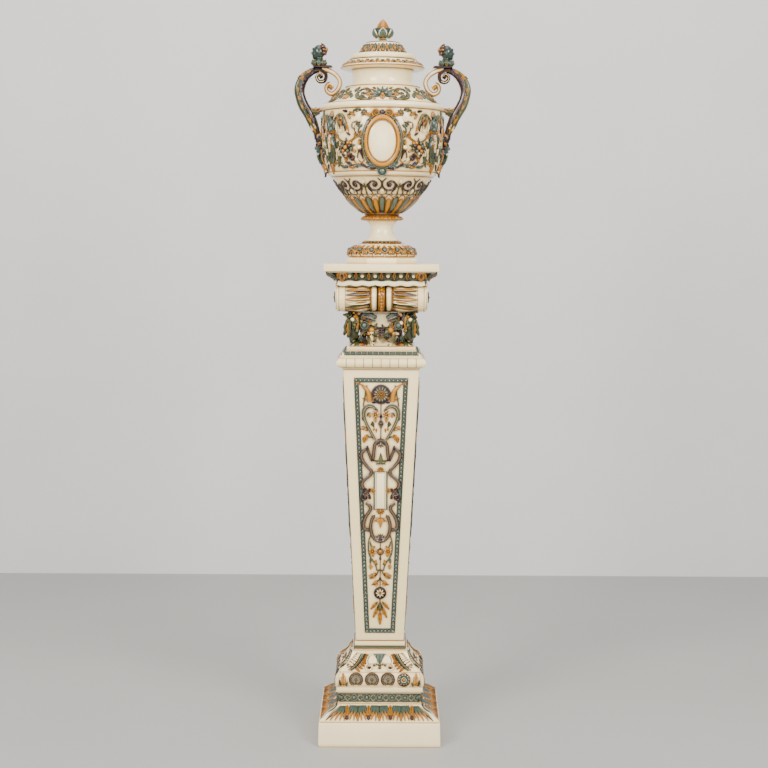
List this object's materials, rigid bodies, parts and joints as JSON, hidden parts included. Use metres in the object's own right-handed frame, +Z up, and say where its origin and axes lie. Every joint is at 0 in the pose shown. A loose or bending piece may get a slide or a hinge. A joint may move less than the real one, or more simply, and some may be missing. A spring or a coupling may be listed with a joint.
{
  "type": "lidded amphora on a pedestal",
  "caption": "Lidded two-handled amphora in relief-moulded glazed earthenware, standing on its matching tapered square pedestal; the lid and the urn lift off.",
  "frame": {"origin": "centre of the plinth's underside, on the floor", "axes": "+Z up the object's axis, -Y out of its front face, the two handles along X"},
  "size_m": [0.412, 0.2986, 1.699],
  "materials": {
    "cream_glaze": "warm ivory lead glaze, finely crazed",
    "amber_glaze": "amber orange majolica glaze",
    "teal_glaze": "dark sea-green majolica glaze",
    "aubergine_glaze": "dark purple-brown majolica glaze",
    "olive_glaze": "leaf green and amber glazes together",
    "steel": "plain turned steel",
    "cork": "cork sheet"
  },
  "bodies": {
    "pedestal": {"base_plinth": "cream_glaze", "base_leaf_course": "teal_glaze", "base_bead_course": "teal_glaze", "base_acanthus_course": "cream_glaze", "shaft_astragal": "teal_glaze", "shaft": "cream_glaze", "panel_borders": "teal_glaze", "panel_relief_front": "aubergine_glaze", "panel_relief_back": "aubergine_glaze", "panel_relief_left": "aubergine_glaze", "panel_relief_right": "aubergine_glaze", "collar_torus": "cream_glaze", "collar_leaf_course": "teal_glaze", "neck_block": "cream_glaze", "capital_core": "cream_glaze", "bolster_front": "amber_glaze", "bolster_back": "amber_glaze", "bolster_straps": "cream_glaze", "volute_discs": "cream_glaze", "volute_rosettes": "teal_glaze", "garland_front": "olive_glaze", "garland_back": "olive_glaze", "garland_left": "olive_glaze", "garland_right": "olive_glaze", "garland_tassels": "olive_glaze", "abacus_moulding": "teal_glaze", "abacus_slab": "cream_glaze"},
    "urn": {"foot_plinth": "cream_glaze", "foot_dome": "amber_glaze", "foot_stem": "cream_glaze", "foot_collar": "amber_glaze", "urn_bowl": "cream_glaze", "urn_drum": "cream_glaze", "urn_neck": "cream_glaze", "tie_rod": "steel", "tie_nuts": "steel", "tie_washers": "steel", "cork_washers": "cork", "handle_stem_left": "aubergine_glaze", "handle_stem_right": "aubergine_glaze", "handle_leaves_left": "olive_glaze", "handle_leaves_right": "olive_glaze", "handle_scroll_left": "cream_glaze", "handle_scroll_right": "cream_glaze", "handle_volute_left": "aubergine_glaze", "handle_volute_right": "aubergine_glaze", "handle_shelf_left": "aubergine_glaze", "handle_shelf_right": "aubergine_glaze", "bust_left": "teal_glaze", "bust_right": "teal_glaze", "mask_left": "teal_glaze", "mask_right": "teal_glaze", "medallion_frames": "amber_glaze", "medallion_plaques": "cream_glaze", "winged_figures": "olive_glaze", "fruit_swags": "olive_glaze"},
    "lid": {"lid_shell": "cream_glaze", "finial_calyx": "teal_glaze", "finial_bud": "amber_glaze"}
  },
  "joints": [
    {"name": "urn_lift", "type": "slide", "parent": "pedestal", "child": "urn", "axis": [0, 0, 1], "range_m": [0, 0.15]},
    {"name": "lid_lift", "type": "slide", "parent": "urn", "child": "lid", "axis": [0, 0, 1], "range_m": [0, 0.12]}
  ]
}
